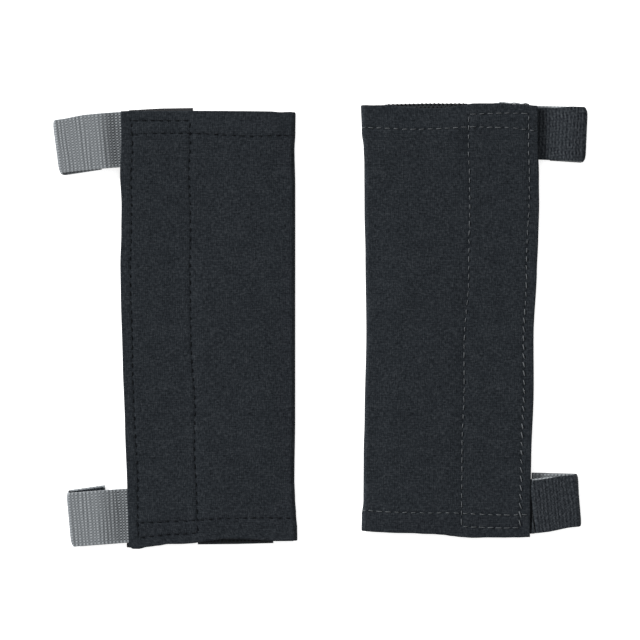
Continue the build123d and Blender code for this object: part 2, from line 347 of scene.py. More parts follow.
# How each edge wanders from the CAD's straight one, outwards, along the edge: -1 lower end, 1 upper
# end for the fold and the free edge, and 0 fold, 1 free edge for the two ends and their hem seams.
EDGE_LOOKS = {
    "left": {
        "fold": ((-1, 1.3), (-0.92, 1.15), (-0.85, 0.6), (-0.78, 0.15), (-0.7, -0.15), (-0.4, 0.2),
            (0.65, 0.25), (0.82, -0.1), (0.9, 0.3), (1, 0.4)),
        "free": ((-1, -0.9), (-0.75, -0.65), (-0.45, -0.05), (-0.15, 0.55), (0.15, 0.95), (0.28, 0.95),
            (0.45, 0.25), (0.57, -0.05), (0.7, 0.4), (0.85, -0.4), (1, -0.45)),
        "upper": ((0, 0.7), (0.05, 0.5), (0.086, 0.35), (0.14, 0.64), (0.26, 0.6), (0.4, 0.49),
            (0.55, 0.36), (0.75, -0.03), (0.95, -0.28), (1, -0.45)),
        "lower": ((0, 0.1), (0.06, -0.05), (0.12, -0.15), (0.19, -0.75), (0.26, -1.33), (0.316, -1.7),
            (0.385, -2.0), (0.45, -2.1), (0.52, -1.5), (0.575, -0.96), (0.63, -0.48), (0.69, -0.35),
            (0.77, -0.5), (0.83, 0.1), (0.89, 0.5), (0.94, 1.3), (0.975, 1.2), (1, -0.4)),
        "free_under": ((-1, 0.1), (-0.985, 0.1), (-0.965, -1.2), (-0.75, -1.1), (-0.45, -0.5),
            (-0.15, 0.1), (0.15, 0.5), (0.28, 0.5), (0.45, -0.2), (0.57, -0.5), (0.85, -0.8),
            (1, -0.9)),
        "upper_under": ((0, 0.5), (0.05, 0.2), (0.14, 0.1), (0.55, -0.1), (1, -1.0)),
        "upper_hem": ((0, 0.0), (0.8, 0.0), (1, -1.1)),
        "lower_hem": ((0, 0.0), (0.85, 0.0), (1, -0.8)),
        "lower_under": ((0, -0.2), (0.06, -0.5), (0.14, -0.3), (0.2, -0.2), (0.43, -0.3), (0.6, -0.7),
            (0.8, -0.4), (0.92, 0.4), (0.96, 1.0), (1, 0.6)),
    },
    "right": {
        "fold": ((-1, 1.05), (-0.9, 0.85), (-0.83, 0.1), (-0.62, 0.0), (-0.45, -0.45), (-0.06, -1.25),
            (0.3, -0.85), (0.5, -0.4), (0.72, -0.3), (0.79, 0.0), (0.86, 0.85), (1, 1.3)),
        "free": ((-1, -0.8), (-0.62, -0.75), (-0.34, -0.1), (-0.06, -0.55), (0.22, 0.5), (0.37, 0.9),
            (0.51, 1.1), (0.65, 0.8), (0.8, 0.2), (0.95, -0.1), (1, -0.65)),
        "upper": ((0, 0.03), (0.03, -0.25), (0.07, -0.4), (0.155, -0.4), (0.247, -1.35), (0.345, -2.15),
            (0.44, -2.3), (0.49, -1.9), (0.557, -1.1), (0.63, -0.3), (0.776, -0.45), (0.868, -0.95),
            (0.93, -1.35), (1, -1.9)),
        "lower": ((0, -0.35), (0.03, -0.55), (0.086, -0.33), (0.2, -0.2), (0.316, -0.35),
            (0.374, -0.19), (0.43, -0.25), (0.49, -0.1), (0.546, 0.35), (0.6, 0.7), (0.66, 0.85),
            (0.776, 0.4), (0.83, 0.3), (0.925, 0.0), (1, -0.35)),
        "free_under": ((-1, -1.3), (-0.62, -1.25), (-0.34, -0.6), (-0.06, -1.05), (0.22, 0.0),
            (0.37, 0.4), (0.51, 0.6), (0.65, 0.3), (0.8, -0.3), (1, -0.8)),
        "upper_under": ((0, 0.03), (0.03, -0.3), (0.07, -0.5), (0.155, -0.5), (0.35, -0.6), (0.6, -0.7),
            (0.8, -0.9), (1, -1.9)),
        "upper_hem": ((0, 0.0), (0.55, 0.0), (0.8, -1.0), (1, -2.2)),
        "lower_hem": ((0, 0.7), (0.4, 0.5), (0.6, 0.1), (1, 0.0)),
        "lower_under": ((0, -0.35), (0.03, -0.7), (0.1, -0.6), (0.4, -0.4), (0.6, 0.4), (0.8, -0.1),
            (1, -0.8)),
    },
}


def corner_of(node, x_sign, y_sign):
    """The corner of a flat CAD node that lies furthest to the given sides, in millimetres."""
    spots = np.array([v.co for v in frame["nodes"][node].data.vertices]) / MM
    return spots[np.argmax(spots[:, 0] * x_sign * 1.7 + spots[:, 1] * y_sign)]


class Sleeve:
    """One grip's cloth: where its edges are, and the grid that all its seams follow."""

    def __init__(self, name):
        self.name = name
        self.outward = -1 if name == "left" else 1
        self.front_up = name == "left"
        fold_low, fold_high = box(f"{name}_panel_fold")
        self.fold_x = fold_high[0] if self.outward < 0 else fold_low[0]
        self.top = fold_high[2]
        self.radius = self.top / 2
        panel = f"{name}_front_panel"
        upper, lower = (corner_of(panel, self.outward, s) for s in (1, -1))
        self.free_y = {1: upper[1], -1: lower[1]}
        self.fold_y = {1: fold_high[1], -1: fold_low[1]}
        self.width = {1: abs(upper[0] - self.fold_x), -1: abs(lower[0] - self.fold_x)}
        self.middle_y = (upper[1] + lower[1]) / 2
        self.half = (upper[1] - lower[1]) / 2
        self.mean_width = (self.width[1] + self.width[-1]) / 2
        self.looks = {edge: through(*knots) for edge, knots in EDGE_LOOKS[name].items()}

    def height(self, y):
        return np.clip((y - self.middle_y) / self.half, -1, 1)

    def fold_edge(self, y):
        return self.fold_x - self.outward * self.looks["fold"](self.height(y))

    def free_edge(self, y, which):
        """The free edge's x at height y, for the ply on top ("") or underneath ("_under")."""
        t = self.height(y)
        width = self.width[-1] + (t + 1) / 2 * (self.width[1] - self.width[-1])
        return self.fold_x + self.outward * (width + self.looks[f"free{which}"](t))

    def end_line(self, share, end):
        """The CAD's straight upper (1) or lower (-1) end, at a share of the way from the fold."""
        return self.fold_y[end] + share * (self.free_y[end] - self.fold_y[end])

    def end_y(self, share, end, which):
        return self.end_line(share, end) + end * self.end_look(share, end, which)

    def from_end(self, y, share, which):
        return np.minimum(self.end_y(share, 1, which) - y, y - self.end_y(share, -1, which))

    def end_look(self, share, end, which):
        return self.looks[("upper" if end > 0 else "lower") + which](share)

    def spot(self, across, along, which):
        """x, y and share of the width at grid lines, given as lists of (kind, distance) stations.

        Kind 0 is measured from the fold or the lower end, kind 1 from the free edge or the upper end,
        and kind 0.5 is a share of the way between the innermost of those."""
        share = np.array([self._share(*s) for s in across])
        low, high = self.end_y(share, -1, which), self.end_y(share, 1, which)
        y = np.array([self._between(kind, d, low, high, (END_ZONE, END_ZONE)) for kind, d in along])
        for end in (-1, 1):  # the hem seams run straighter than the ends do
            from_end = np.abs((high if end > 0 else low) - y)
            fade = ease((60 - from_end) / 40)
            calm = HEM_CALM * self.end_look(share, end, which)
            y = y - end * calm * ease(from_end / HEM_DEPTH) * fade
            y = y + end * self.end_look(share, end, "_hem") * ease((from_end - 5) / 6) * fade
        fold, free = self.fold_edge(y), self.free_edge(y, which)
        x = np.array([
            self._between(kind, d, fold[:, i], free[:, i], (self.radius, FREE_ZONE))
            for i, (kind, d) in enumerate(across)
        ]).T
        return x, y, share

    def _share(self, kind, d):
        width = self.mean_width
        if kind == 0.5:
            return (self.radius + d * (width - FREE_ZONE - self.radius)) / width
        return d / width if kind == 0 else 1 - d / width

    @staticmethod
    def _between(kind, d, first, last, zones):
        way = np.sign(last - first)
        if kind == 0:
            return first + way * d
        if kind == 1:
            return last - way * d
        start, end = first + way * zones[0], last - way * zones[1]
        return start + d * (end - start)


FREE_ZONE = 36.0  # grid lines within this of the free edge run parallel to it
END_ZONE = 14.0  # and within this of the two ends, parallel to them
HEM_CALM = 0.6  # how much of an end's wandering its hem seam leaves out
EDGE_STATIONS = [0.0, 0.08, 0.25, 0.5, 0.8, 1.2, 1.8]
AROUND_SEAM = (-1.5, -0.8, -0.35, 0.0, 0.35, 0.8, 1.5)
ACROSS_STEP, ALONG_STEP, END_STEP = 1.15, 0.85, 1.0  # between grid lines, at most
MIDDLE_WIDTH, MIDDLE_HEIGHT = 42, 172  # about the size of what lies inside the zones


def spread(start, stop, step):
    count = max(2, int(round(abs(stop - start) / step)) + 1)
    return list(np.linspace(start, stop, count))


def stations(seams, stop, step):
    """Distances from an edge: close together there and at each seam, with even steps between."""
    near_seams = [place + gap for place in seams for gap in AROUND_SEAM]
    fixed = sorted({round(v, 3) for v in EDGE_STATIONS + near_seams if v <= stop} | {stop})
    out = [fixed[0]]
    for a, b in zip(fixed, fixed[1:]):
        out += spread(a, b, step)[1:]
    return out


def across_stations():
    """From the fold's side to the free edge."""
    free = stations((OUTER_SEAM, INNER_SEAM), FREE_ZONE, ACROSS_STEP)[:-1]
    middle = [(0.5, s) for s in spread(0, 1, ACROSS_STEP / MIDDLE_WIDTH)]
    return middle + [(1, d) for d in reversed(free)]


def along_stations():
    """From the lower end to the upper end."""
    end = stations((BOX_SEAM, HEM_SEAM), END_ZONE, END_STEP)[:-1]
    middle = [(0.5, s) for s in spread(0, 1, ALONG_STEP / MIDDLE_HEIGHT)]
    return [(0, e) for e in end] + middle + [(1, e) for e in reversed(end)]


ACROSS, ALONG = across_stations(), along_stations()


def station(grid_lines, kind, distance):
    """Which grid line is nearest to a distance from one edge."""
    return int(np.argmin([abs(d - distance) if k == kind else math.inf for k, d in grid_lines]))


OUTER, INNER, EDGE = (station(ACROSS, 1, place) for place in (OUTER_SEAM, INNER_SEAM, 0.8))
BOX_ROW, HEM_ROW = (
    {end: station(ALONG, kind, seam) for end, kind in ((-1, 0), (1, 1))} for seam in (BOX_SEAM, HEM_SEAM)
)
END_RADIUS, FREE_RADIUS = 0.62, 0.5  # how round the cloth's edges are
WANDER = 0.25  # how far seams and grid lines stray in plan, away from the edges
SINK, SINK_HALF = 0.22, 0.42  # how deep the cloth sinks at a stitch, and how far to each side
WELT, WELT_AT, WELT_HALF = 0.05, 2.0, 1.1  # the low swelling on both sides of a seam
PUCKER, CRUMPLE = 0.035, 0.012  # the heights of the ripples beside the seams and everywhere
ZONE_ROOM = 0.5  # beside a strap's sewn end


class Ply:
    """The upper or the lower half of a sleeve, as grids of its outer and inner faces."""

    def __init__(self, sleeve, upper):
        self.sleeve, self.upper = sleeve, upper
        self.side = 1 if upper else -1  # which way its outer face looks
        self.level = sleeve.top if upper else 0.0
        self.is_front = sleeve.front_up == upper
        self.face = "front" if self.is_front else "back"
        self.name = f"{sleeve.name}_{self.face}"
        self.body = f"{sleeve.name}_{'flap' if upper else 'base'}"
        self.which = "" if upper else "_under"
        x, y, share = sleeve.spot(ACROSS, ALONG, self.which)
        self.from_free = np.abs(sleeve.free_edge(y, self.which) - x)
        self.from_fold = np.abs(sleeve.fold_edge(y) - x)
        self.from_end = sleeve.from_end(y, share, self.which)
        seed = (11 if upper else 12) + 20 * (sleeve.outward + 1)

        inside = ease(self.from_free / 6) * ease(self.from_end / 6) * ease((self.from_fold - 2) / 8)
        self.x = x + WANDER * inside * ripple(x, y, 46, seed + 1)
        self.y = y + WANDER * inside * ripple(self.x, y, 46, seed + 2)
        relief = self.relief(seed)
        self.lift = self.billow(seed) if upper else np.zeros_like(x)
        thick = self.thickness()
        outer = self.level + self.lift + self.side * relief
        inner = (sleeve.top - thick if upper else thick) + self.lift
        self.inner_flat = inner
        keep = rounded(self.from_end, END_RADIUS) * rounded(self.from_free, FREE_RADIUS)
        middle = (outer + inner) / 2
        self.outer = middle + keep * (outer - middle)
        self.inner = middle + keep * (inner - middle)

    def thickness(self):
        """The cloth's, with its turned-in hems and free edge."""
        past_seam = np.maximum(self.y - self.y[HEM_ROW[1]], self.y[HEM_ROW[-1]] - self.y)
        hem = ease((past_seam + 0.9) / 1.2) * ease((self.from_free - 33.2) / 1.0)
        turned_edge = 0.25 * ease((EDGE_DEPTH - self.from_free) / 1.2)
        return CLOTH + (HEM - CLOTH) * hem * ease((self.from_fold - 2.2) / 1.5) + turned_edge * (1 - hem)

    def relief(self, seed):
        """How far the outer face stands out: it sinks at each stitch and puckers beside the seams."""
        self.groove = np.zeros_like(self.x)
        relief = np.zeros_like(self.x)
        for _, count, distance, phase in self.seams():
            reach = ease((phase + 0.35) / 0.35) * ease((count + 0.35 - phase) / 0.35)
            pull = 0.25 + 0.75 * (0.5 + 0.5 * np.cos(2 * np.pi * phase)) ** 2
            self.groove = np.maximum(self.groove, reach * pull * np.exp(-((distance / SINK_HALF) ** 2)))
            relief = relief + WELT * reach * np.exp(-(((np.abs(distance) - WELT_AT) / WELT_HALF) ** 2))
        relief = relief - SINK * self.groove
        pucker = 0.0
        for distance, fade in ((self.from_end - HEM_SEAM, 4.0), (self.from_free - INNER_SEAM, 4.5),
                               (self.from_free - OUTER_SEAM, 3.5)):
            pucker = pucker + np.exp(-np.abs(distance) / fade)
        relief = relief + PUCKER * pucker * ripple(self.x, self.y, 7.5, seed + 3)
        relief = relief + CRUMPLE * ripple(self.x, self.y, 3.4, seed + 4)
        relief = relief * ease((self.from_fold - 1.8) / 2.5)
        return relief if self.upper else np.minimum(relief, 0.0)

    def billow(self, seed):
        """How far the upper ply stands up off the one below it."""
        x, y = self.x, self.y
        billow = 0.5 + 0.25 * ripple(x, y, 75, seed + 5) + 0.07 * ripple(x, y, 32, seed + 6)
        billow = np.clip(billow, 0.0, 1.4) * ease((self.from_fold - 2) / 12) * ease(self.from_end / 12)
        over_tape = 0.35 + 0.65 * ease((self.from_free - INNER_SEAM) / 6)
        return billow * over_tape * ease(self.from_free / 10)

    def seams(self):
        """Every seam: its grid line, its number of stitches, and each point's distance and place."""
        upright = slice(BOX_ROW[-1], BOX_ROW[1] + 1)
        for column, place in ((OUTER, OUTER_SEAM), (INNER, INNER_SEAM)):
            start, stop = self.y[upright.start], self.y[upright.stop - 1]
            yield self._seam((upright, column), self.from_free - place, self.y, start, stop)
        for end in (-1, 1):  # the box seam of each end, then its hem seam
            for row, first in ((BOX_ROW[end], INNER), (HEM_ROW[end], 0)):
                last = OUTER if row == BOX_ROW[end] or self.is_front else EDGE
                start, stop = self.x[row, first], self.x[row, last]
                yield self._seam((row, slice(first, last + 1)), self.y - self.y[row], self.x, start, stop)

    def _seam(self, index, distance, run, start, stop):
        count = int(np.round(np.mean(np.abs(stop - start)) / STITCH_PITCH))
        return index, count, distance, (run - start) / (stop - start) * count

    def line(self, index, z):
        return xyz(self.x[index], self.y[index], z[index])

    def strap_zones(self):
        """The heights between which a front ply's two straps are sewn on, with a little room."""
        names = [f"{self.sleeve.name}_{which}_strap_sewn_end" for which in ("upper", "lower")]
        boxes = [box(name) for name in names] if self.is_front else []
        return [(low[1] - ZONE_ROOM, high[1] + ZONE_ROOM) for low, high in boxes]


def blend_round_fold(piece):
    """Bakes the piece's transform into its mesh."""
    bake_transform(piece)


INSIDE_SHIFT = 300.0  # so that the yarns inside are not a mirror image of those outside


def sleeve_piece(sleeve, plies):
    """The cloth of one grip, in one continuous closed sheet round the fold."""
    lower, upper = plies
    arc = np.radians(np.linspace(-90, 90, 15)[1:-1])
    y_arc = (lower.y[:, :1] + upper.y[:, :1]) / 2
    fold = sleeve.fold_edge(y_arc)

    def face(lower_z, upper_z, thickness):
        radius = sleeve.radius - thickness
        x = fold + sleeve.outward * (sleeve.radius - radius * np.cos(arc))
        z = sleeve.radius + radius * np.sin(arc)
        under = xyz(lower.x, lower.y, lower_z)[:, ::-1]
        return np.concatenate([under, xyz(x, y_arc, z), xyz(upper.x, upper.y, upper_z)], axis=1)

    soft_end = rounded(upper.from_end[:, :1], END_RADIUS)
    outer = face(lower.outer, upper.outer, CLOTH / 2 * (1 - soft_end))
    inner = face(lower.inner, upper.inner, CLOTH / 2 * (1 + soft_end))
    run = np.cumsum(np.linalg.norm(np.diff(outer, axis=1, prepend=outer[:, :1]), axis=-1), axis=1)
    uv = np.stack([run, outer[..., 1]], -1)
    uv = np.concatenate([uv, uv[:, ::-1] + (0.0, INSIDE_SHIFT)], axis=1)
    # the grooves go to the depth attribute, from which the cloth's colour paints shade along the seams
    depth = 1 - np.concatenate([lower.groove[:, ::-1], 0 * (y_arc + arc), upper.groove], axis=1)
    depth = np.concatenate([depth, np.ones_like(depth)], axis=1)
    name, rings = sleeve.name, np.concatenate([outer, inner[:, ::-1]], axis=1)
    flip = sleeve.outward < 0
    piece = tube_object(f"{name}_sleeve_cloth", CLOTH_MATERIAL, rings, flip, uv, "strip", depth)
    blend_round_fold(piece)
    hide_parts(f"{name}_front_panel", f"{name}_back_panel", f"{name}_panel_fold")
    return piece


# ---- stitching ----

THREAD_SIDES = 8
ALONG_STITCH = np.linspace(0, 1, 9)
STITCH_BOW = np.sin(np.pi * ALONG_STITCH)
STITCH_RISE = -0.8 + 1.5 * STITCH_BOW ** 0.6  # of the thread's middle over the cloth, in thread radii
STITCH_SWELL = 0.45 + 0.55 * STITCH_BOW ** 0.45  # the thread is thinner where it dives into the cloth


def stitch_row(build, line, count, up, radius, stitch, seed, slant=0.0):
    """A row of separate stitches: each is a short plied thread that dips into the cloth at both ends."""
    run = np.concatenate([[0], np.cumsum(np.linalg.norm(np.diff(line, axis=0), axis=1))])
    pitch = run[-1] / count
    draw = np.random.default_rng(seed)
    u, angle = ALONG_STITCH, circle(THREAD_SIDES)
    faces = tube_faces(len(u), THREAD_SIDES, turn=-1)
    above = np.array((0, 0, up))
    ply = 1 + 0.10 * np.cos(2 * angle[None, :] - 7.0 * u[:, None])
    for k in range(count):
        length = min(stitch * draw.uniform(0.72, 1.12), pitch * 0.86)
        start = k * pitch + (pitch - length) / 2 + draw.uniform(-0.15, 0.15)
        at = start + u * length
        centre = np.stack([np.interp(at, run, line[:, i]) for i in range(3)], axis=-1)
        beside = unit(np.cross(above, unit(centre[-1] - centre[0])))
        loose = ease(2.2 * (1 - k / count) - 0.6)
        tilt = slant * loose + draw.uniform(-0.14, 0.16)
        base = centre[:1] + (centre[-1:] - centre[:1]) * u[:, None]
        base[:, 2] = np.maximum(base[:, 2] * up, centre[:, 2] * up) * up
        centre = base + np.outer(tilt * (u - 0.5) * 2, beside)
        centre[:, 2] += up * radius * STITCH_RISE
        thick = radius * (1 + 1.3 * slant * loose) * draw.uniform(0.75, 1.15) * STITCH_SWELL
        rings = round_rings(centre, (thick[:, None] * ply)[..., None], angle, beside, above)
        build.add(rings, faces, np.stack(np.broadcast_arrays(at[:, None], angle * 0.3), -1))


def fold_stitches(sleeve, ply):
    """The stitch of each hem seam that goes over this ply's half of the folded edge."""
    around = circle(THREAD_SIDES)
    angle = np.radians(12 + 66 * ALONG_STITCH)[:, None]
    thick = (THREAD_RADIUS * STITCH_SWELL)[:, None]
    reach = (sleeve.radius + THREAD_RADIUS * STITCH_RISE)[:, None] + thick * np.cos(around)
    build = Builder()
    for end in (-1, 1):
        y = ply.y[HEM_ROW[end], 0]
        rings = xyz(
            sleeve.fold_edge(y) + sleeve.outward * (sleeve.radius - reach * np.cos(angle)),
            y + thick * np.sin(around),
            sleeve.radius + ply.side * reach * np.sin(angle),
        )
        build.add(rings, tube_faces(*rings.shape[:2]))
    material, slot = THREADS[ply.face]
    piece = build.object(f"{ply.name}_fold_stitches", material,
                         flip=(sleeve.outward > 0) == ply.upper)
    blend_round_fold(piece)


def stitching(ply):
    """Needle thread on the ply's outer face and bobbin thread inside, black in front and grey behind."""
    material, slot = THREADS[ply.face]
    stitch = STITCH[ply.face]
    outside = ply.outer + ply.side * 0.3 * ply.groove
    if not ply.upper:  # clear of the floor
        outside = np.maximum(outside, 1.8 * THREAD_RADIUS)
    inside = ply.inner_flat - ply.side * TAPE_BASE
    for low, high in ply.strap_zones():
        over = (ply.y > low) & (ply.y < high) & (ply.from_free < TAPE_CUT)
        inside = np.where(over, ply.inner_flat - ply.side * (STRAP_THICK - 0.15), inside)
    build = Builder()
    for k, (index, count, _, _) in enumerate(ply.seams()):
        leaning = 0.42 if k == 0 and not ply.is_front else 0.0
        needle = ply.line(index, outside)
        stitch_row(build, needle, count, ply.side, THREAD_RADIUS, stitch, 100 + k, leaning)
        if k in (0, 1, 2, 4):  # not at the hem seams, which the liner and the tape cover
            bobbin = ply.line(index, inside)
            stitch_row(build, bobbin, count, -ply.side, 0.8 * THREAD_RADIUS, stitch, 200 + k)
    piece = build.object(f"{ply.name}_stitching", material)
    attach(piece, ply.body)
    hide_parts(f"{ply.name}_seam_thread")


# ---- liners and tapes ----

TAPE_BASE = 0.5  # from the cloth to the face of the tape's base
TAPE_CUT = 13.3  # the front tape stops this far from the free edge beside a strap's sewn end

# How far the liner's and the tape's ends stand past the CAD's end lines: at the side nearer the fold,
# half-way, and at the side nearer the free edge.
LINER_ENDS = {
    ("left", False, -1): (0.85, 0.7, 0.25), ("left", False, 1): (-0.5, -0.6, -0.9),
    ("left", True, -1): (-1.2, -2.6, -2.2), ("left", True, 1): (-0.3, -0.4, -0.6),
    ("right", False, -1): (-1.0, -0.8, -0.6), ("right", False, 1): (0.0, 0.1, -0.2),
    ("right", True, -1): (-1.0, -0.9, -0.4), ("right", True, 1): (-1.3, -2.9, -2.4),
}
TAPE_ENDS = {
    ("left", True, 1): (1.62, 1.15, 0.05), ("left", False, -1): (-0.6, -0.6, -0.5),
    ("right", False, 1): (-0.4, -0.75, -1.5), ("right", True, -1): (-0.3, -0.3, -0.7),
}
TAPE_END = (-0.9, -0.9, -1.1)
LINER_COLUMN = 20  # the sleeve's grid line that the liner's height follows


def liner_grid(sleeve, ply):
    """A function for x, y, cloth thickness and lift anywhere on the liner, and the liner's width."""
    low, high = box(f"{ply.name}_liner")
    near, far = sorted((abs(low[0] - sleeve.fold_x), abs(high[0] - sleeve.fold_x)))

    def place(across, along, past=0.0):
        """across is 0 to 1 from the fold's side, along is -1 to 1 from the lower end."""
        share = (near + across * (far - near)) / sleeve.mean_width
        start, stop = (
            sleeve.end_line(share, end)
            + end * (np.interp(across, (0, 0.5, 1), LINER_ENDS[(sleeve.name, ply.upper, end)]) + past)
            for end in (-1, 1)
        )
        y = start + (along + 1) / 2 * (stop - start)
        width = sleeve.width[-1] + (y - sleeve.middle_y + sleeve.half) / (2 * sleeve.half) * (
            sleeve.width[1] - sleeve.width[-1]
        )
        x = sleeve.fold_x + sleeve.outward * (near + across * (width - (sleeve.mean_width - far) - near))
        from_end = sleeve.from_end(y, share, ply.which)
        cloth = CLOTH + (HEM - CLOTH) * ease((HEM_DEPTH + 0.8 - from_end) / 1.6)
        return x, y, cloth, np.interp(y, ply.y[:, LINER_COLUMN], ply.lift[:, LINER_COLUMN])

    return place, far - near


KNIT_HALF = 0.14  # half the liner's thickness
LINER_GAP = 0.02  # between the cloth and the liner


def liner_sheet(sleeve, ply, place, width, seed):
    """The knit of a liner, slightly lumpy on the face that shows."""
    across = np.concatenate([[0, 0.004, 0.012], np.linspace(0.03, 0.97, 44), [0.988, 0.996, 1]])
    along = np.concatenate([[-1, -0.9988, -0.996], np.linspace(-0.99, 0.99, 200), [0.996, 0.9988, 1]])
    across, along = np.meshgrid(across, along)
    x, y, cloth, lift = place(across, along)
    from_side, from_end = np.minimum(across, 1 - across) * width, (1 - np.abs(along)) * 100
    rim = rounded(np.minimum(from_side, from_end), 0.25, 0.03)
    middle = ply.level - ply.side * (cloth + LINER_GAP + 0.16) + lift
    face = middle - ply.side * (KNIT_HALF + 0.03 * ripple(x, y, 2.2, seed)) * rim
    back = middle + ply.side * KNIT_HALF * rim
    rings = np.concatenate([xyz(x, y, face), xyz(x, y, back)[:, ::-1]], axis=1)
    flip = (sleeve.outward > 0) != ply.upper
    sheet = tube_object(f"{ply.name}_liner_sheet", LINER_MATERIAL, rings, flip, cap="strip")
    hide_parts(f"{ply.name}_liner")
    return sheet


def liner_dots(sleeve, ply, place, width, seed):
    """The liner's rubber dots: low domes in staggered rows."""
    build = Builder()
    draw = np.random.default_rng(seed)
    angle = circle(8)
    reach, rise = np.array([(1.0, -0.1), (0.96, 0.35), (0.72, 0.8), (0.3, 1.0)]).T[..., None]
    faces = [face[::-ply.side] for face in tube_faces(len(reach), len(angle))]
    rows = int(2 * sleeve.half / DOT_ROW)
    past = -0.35 if sleeve.name == "right" and not ply.upper else -1.25
    for row in range(rows + 1):
        spots = np.arange(0.9 + (row % 2) * DOT_PITCH / 2, width - 0.8, DOT_PITCH) / width
        x, y, cloth, lift = place(spots, np.full_like(spots, -1 + 2 * row / rows), past)
        bottom = ply.level - ply.side * (cloth + 0.26) + lift
        size = DOT_RADIUS * draw.uniform(0.9, 1.06, len(spots))
        for k in range(len(spots)):
            ring = xyz(x[k] + size[k] * reach * np.cos(angle), y[k] + size[k] * reach * np.sin(angle),
                       bottom[k] - ply.side * 0.4 * rise)
            build.add(ring, faces)
    return build.object(f"{ply.name}_liner_dots", RUBBER_MATERIAL)


def liner(sleeve, ply):
    """The anti-slip liner on a ply's inside: a thin knit with rows of black rubber dots."""
    seed = 300 + 7 * sleeve.outward + 2 * ply.upper
    grid = liner_grid(sleeve, ply)
    for piece in [make(sleeve, ply, *grid, seed) for make in (liner_sheet, liner_dots)]:
        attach(piece, ply.body)


TAPE_THICK, TAPE_ROUNDING = 0.45, 0.36
TAPE_GAP = 0.05  # between the cloth and the tape
ROOT_GAP = 0.02  # less than that, so that the hooks and loops are rooted just inside the tape
TAPE_PROFILE = np.array([  # across the tape: a share of its width, and how far it is rounded off
    (0.0, 0.5), (0.006, 0.15), (0.02, 0.0), *[(v, 0.0) for v in np.linspace(0.08, 0.92, 22)],
    (0.98, 0.0), (0.994, 0.15), (1.0, 0.5),
])
TAPE_INNER = TAPE_INSET + TAPE_WIDTH  # from the free edge
TAPE_ROWS, CUT_HALF = 236, 0.06  # stations along the tape, and half the length of a step in its outline
TAPE_COLUMN = INNER + 8  # the sleeve's grid line that the tape's height follows


